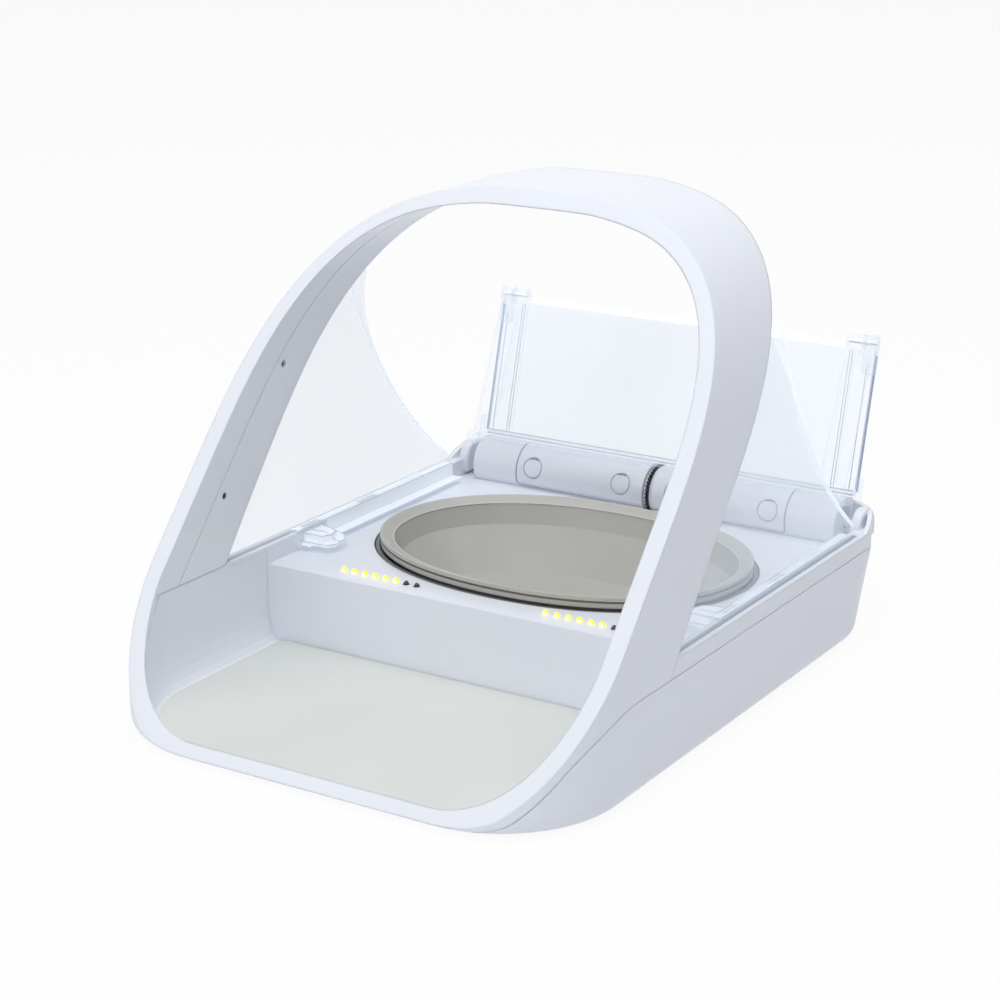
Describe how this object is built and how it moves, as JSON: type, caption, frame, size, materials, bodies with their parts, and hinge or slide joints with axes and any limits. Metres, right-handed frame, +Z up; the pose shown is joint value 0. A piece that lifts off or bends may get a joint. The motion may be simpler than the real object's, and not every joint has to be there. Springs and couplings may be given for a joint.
{
  "type": "microchip pet feeder",
  "caption": "Automatic pet feeder with a sloping reader hoop over a tray, a clear folding lid driven open over a grey bowl, clear side shields and rows of portion lights.",
  "frame": {"origin": "middle of the footprint, on the surface that the feet rest on", "axes": "+Z up, X across the width, Y along the depth with the sloping front towards -Y and the lid's hinge towards +Y"},
  "size_m": [0.2268, 0.313, 0.21],
  "materials": {
    "white_housing": "satin moulded plastic",
    "clear_plastic": "clear moulded plastic",
    "grey_bowl": "satin warm grey",
    "grey_platform": "fine texture",
    "pale_mat": "matt silicone",
    "soft_seal": "translucent soft strip",
    "lit_lens": "lit yellow",
    "dark_lens": "dark clear lens",
    "dark_gear": "black moulded plastic",
    "brass_gear": "cut brass",
    "steel": "bright",
    "aluminium_bar": "milled",
    "copper_wire": "enamelled copper",
    "circuit_board": "solder resist",
    "cell_jacket": "plain printed sleeve",
    "grey_button": "satin",
    "foot_rubber": "matt"
  },
  "bodies": {
    "base": {"lower_housing": "white_housing", "upper_housing": "white_housing", "hoop_outer_shell": "white_housing", "hoop_inner_liner": "white_housing", "antenna_coil": "copper_wire", "presence_sensors": "dark_lens", "side_shield_right": "clear_plastic", "side_shield_left": "clear_plastic", "shield_clips": "clear_plastic", "barrel_cover_right": "white_housing", "barrel_cover_left": "white_housing", "barrel_screw_caps": "white_housing", "gearbox": "dark_gear", "lid_motor": "steel", "bowl_platform": "grey_platform", "load_cells": "aluminium_bar", "light_board": "circuit_board", "lit_lights": "lit_lens", "unlit_lights": "dark_lens", "battery_cells": "cell_jacket", "battery_contacts": "steel", "main_circuit_board": "circuit_board", "button_switches": "dark_gear", "rubber_feet": "foot_rubber", "housing_screws": "steel"},
    "rear_flap": {"rear_lid_flap": "clear_plastic", "fold_seal": "soft_seal", "lid_hinge_rod": "steel", "lid_gear": "dark_gear", "fold_pins": "steel"},
    "front_flap": {"front_lid_flap": "clear_plastic", "guide_pins": "clear_plastic"},
    "pinion": {"motor_pinion": "brass_gear"},
    "bowl": {"food_bowl": "grey_bowl"},
    "mat": {"feeding_mat": "pale_mat"},
    "pairing_key": {"pairing_button": "grey_button"},
    "lid_key": {"lid_button": "grey_button"},
    "training_key": {"training_button": "grey_button"},
    "right_battery_door": {"battery_cover_right": "white_housing"},
    "left_battery_door": {"battery_cover_left": "white_housing"}
  },
  "joints": [
    {"name": "lid_hinge", "type": "hinge", "parent": "base", "child": "rear_flap", "pos_m": [0, 0.1322, 0.0485], "axis": [1, 0, 0], "range_deg": [0, 98.3]},
    {"name": "lid_fold", "type": "hinge", "parent": "rear_flap", "child": "front_flap", "pos_m": [0, 0.15316, 0.12953], "axis": [1, 0, 0], "range_deg": [-161, 0]},
    {"name": "pinion_spin", "type": "hinge", "parent": "base", "child": "pinion", "pos_m": [0, 0.13073, 0.03166], "axis": [1, 0, 0], "range_deg": [-248, 0]},
    {"name": "bowl_lift", "type": "slide", "parent": "base", "child": "bowl", "axis": [0, 0, 1], "range_m": [0, 0.08]},
    {"name": "mat_lift", "type": "slide", "parent": "base", "child": "mat", "axis": [0, 0, 1], "range_m": [0, 0.04]},
    {"name": "pairing_key_press", "type": "slide", "parent": "base", "child": "pairing_key", "axis": [0, -1, 0], "range_m": [0, 0.0008], "stiffness_N_per_m": 400},
    {"name": "lid_key_press", "type": "slide", "parent": "base", "child": "lid_key", "axis": [0, -1, 0], "range_m": [0, 0.0008], "stiffness_N_per_m": 400},
    {"name": "training_key_press", "type": "slide", "parent": "base", "child": "training_key", "axis": [0, -1, 0], "range_m": [0, 0.0008], "stiffness_N_per_m": 400},
    {"name": "right_battery_door_slide", "type": "slide", "parent": "base", "child": "right_battery_door", "axis": [0, 1, 0], "range_m": [0, 0.008]},
    {"name": "left_battery_door_slide", "type": "slide", "parent": "base", "child": "left_battery_door", "axis": [0, 1, 0], "range_m": [0, 0.008]}
  ],
  "couplings": [
    {"joint": "lid_fold", "follows": "lid_hinge", "ratio": -1.6328},
    {"joint": "pinion_spin", "follows": "lid_hinge", "ratio": -2.5}
  ]
}
